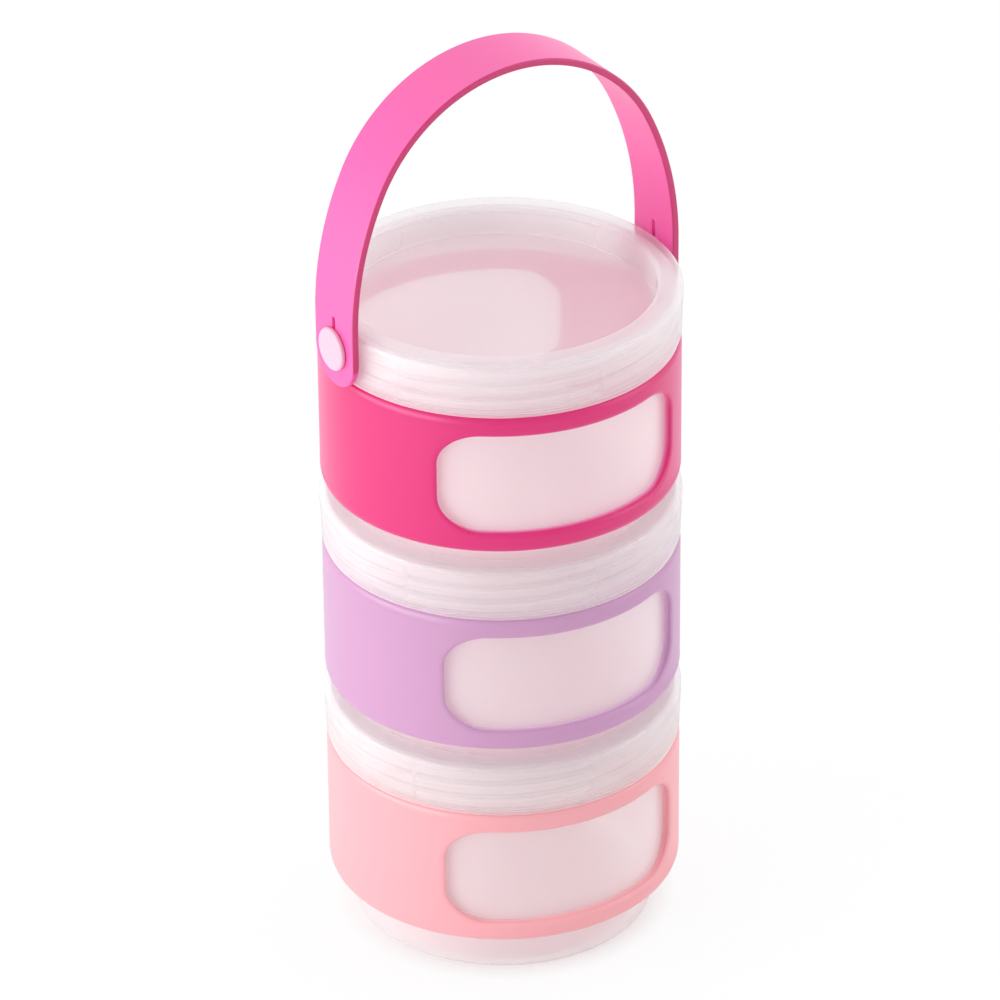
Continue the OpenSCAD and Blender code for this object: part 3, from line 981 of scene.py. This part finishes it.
def seen_rays(tree):
    """1 on what is seen directly, in a reflection or through a wall, and 0 where it only gives light."""
    path = tree.nodes.new("ShaderNodeLightPath").outputs
    direct = maths(tree, "MAXIMUM", path["Is Camera Ray"], path["Is Glossy Ray"])
    return maths(tree, "MAXIMUM", direct, path["Is Transmission Ray"])


def set_floor(scene):
    """A wide pale floor at z = 0. It lights as a plain pale surface. Where it is seen it is mostly plain white, but
    under the foot mostly its own lit colour."""
    h = FLOOR_HALF
    mesh = bpy.data.meshes.new("floor")
    mesh.from_pydata([(-h, -h, 0), (h, -h, 0), (h, h, 0), (-h, h, 0)], [], [(0, 1, 2, 3)])
    material, tree, plain = new_material("pale floor")
    feed(tree, plain, {"Base Color": (0.86, 0.86, 0.86, 1), "Roughness": 0.9})
    where = tree.nodes.new("ShaderNodeTexCoord").outputs["Object"]
    far = node(tree, "ShaderNodeVectorMath", where, operation="LENGTH").outputs["Value"]
    foot_r = scene.snack_pot.foot_r
    shown = mapped(tree, far, From_Min=foot_r - 2 * MM, From_Max=foot_r + 6 * MM, To_Min=0.3, To_Max=0.85)
    white = node(tree, "ShaderNodeEmission", Color=WHITE, Strength=1.0).outputs[0]
    share = maths(tree, "MULTIPLY", seen_rays(tree), shown)
    feed(tree, tree.nodes["Material Output"], {"Surface": mixed(tree, share, plain.outputs[0], white)})
    mesh.materials.append(material)
    new_object("floor", mesh)


def set_light(scene):
    """A white room where it is seen. For light, a room that is darker where the camera stands, and a tall soft lamp on
    each side of the camera's line."""
    scene.world = bpy.data.worlds.new("studio")
    scene.world.use_nodes = True
    tree = scene.world.node_tree
    where = tree.nodes.new("ShaderNodeTexCoord").outputs["Generated"]
    facing = node(tree, "ShaderNodeVectorMath", where, unit(FRONT), operation="DOT_PRODUCT").outputs["Value"]
    fall = mapped(
        tree, facing, interpolation_type="SMOOTHSTEP",
        From_Min=ROOM_SIDE, From_Max=FRONT_SIDE, To_Min=ROOM_LIGHT, To_Max=FRONT_LIGHT,
    )
    lit = tree.nodes["Background"]
    feed(tree, lit, {"Color": WHITE, "Strength": fall})
    shown = node(tree, "ShaderNodeBackground", Color=WHITE, Strength=1.0)
    room = mixed(tree, seen_rays(tree), lit.outputs[0], shown.outputs[0])
    feed(tree, tree.nodes["World Output"], {"Surface": room})
    for name, spot, power, wide, tall in LAMPS:
        data = bpy.data.lights.new(name, "AREA")
        data.shape = "RECTANGLE"
        data.energy, data.size, data.size_y = power, wide, tall
        back = unit(np.subtract(spot, (0, 0, LAMP_AIM)))
        side = unit(np.cross([0, 0, 1], back))
        place(new_object(name, data), side, np.cross(back, side), back, spot)
    scene.view_settings.view_transform = "Standard"
    scene.cycles.transparent_max_bounces = 32
    scene.cycles.max_bounces = 32
    scene.cycles.diffuse_bounces = 24


# ---------------------------------------------------------------- add-on


STEPS = (SNACK_OT_stage, SNACK_OT_pots, SNACK_OT_lids, SNACK_OT_sleeves, SNACK_OT_strap, SNACK_OT_pegs)


class SNACK_PT_panel(bpy.types.Panel):
    """Lists the builders and the sizes in the 3D view's sidebar"""

    bl_label = "Snack Pots"
    bl_idname = "SNACK_PT_panel"
    bl_space_type = "VIEW_3D"
    bl_region_type = "UI"
    bl_category = "Snack Pots"

    def draw(self, context):
        for step in STEPS:
            self.layout.operator(step.bl_idname)
        for name, group in GROUPS.items():
            box = self.layout.box()
            for prop in group.__annotations__:
                box.prop(getattr(context.scene, name), prop)


CLASSES = (*GROUPS.values(), *STEPS, SNACK_PT_panel)


def register():
    """Registers the classes and puts their settings on the scene."""
    for cls in CLASSES:
        bpy.utils.register_class(cls)
    for name, group in GROUPS.items():
        setattr(bpy.types.Scene, name, bpy.props.PointerProperty(type=group))


def unregister():
    """Takes the settings and the classes away again."""
    for name in GROUPS:
        delattr(bpy.types.Scene, name)
    for cls in reversed(CLASSES):
        bpy.utils.unregister_class(cls)


def main():
    """Builds the whole object and its stage."""
    register()
    for step in STEPS:
        group, name = step.bl_idname.split(".")
        getattr(getattr(bpy.ops, group), name)()


if __name__ == "__main__":
    main()
